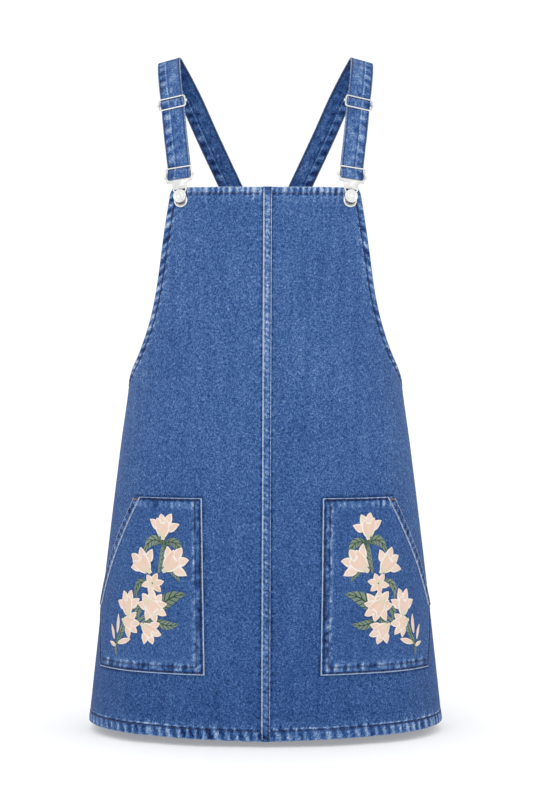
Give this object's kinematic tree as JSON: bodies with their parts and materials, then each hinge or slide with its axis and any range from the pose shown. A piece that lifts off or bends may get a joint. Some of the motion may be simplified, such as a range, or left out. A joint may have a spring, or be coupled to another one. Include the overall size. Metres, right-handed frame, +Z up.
{
  "type": "pinafore dress",
  "caption": "A denim pinafore dress with a bib, adjustable straps on hooks and buttons, a centre front seam and two slanted patch pockets with embroidered flowers, hollow as when worn.",
  "frame": {"origin": "midway between the two shoulders, at the height where the straps lie on them", "axes": "+Z up, -Y is the front of the dress, +X is the wearer's left"},
  "size_m": [0.457, 0.3266, 0.8639],
  "materials": {
    "denim": "matte",
    "denim_seam": "matte",
    "nickel": "polished"
  },
  "bodies": {
    "root": {"front_right": "denim", "front_left": "denim", "back": "denim", "centre_front_seam": "denim_seam", "pocket_right": "denim", "pocket_left": "denim", "pocket_mouth_right": "denim_seam", "pocket_mouth_left": "denim_seam", "strap_right": "denim", "strap_left": "denim", "hook_right": "nickel", "hook_left": "nickel", "slider_right": "nickel", "slider_left": "nickel", "button_right": "nickel", "button_left": "nickel"}
  },
  "joints": []
}
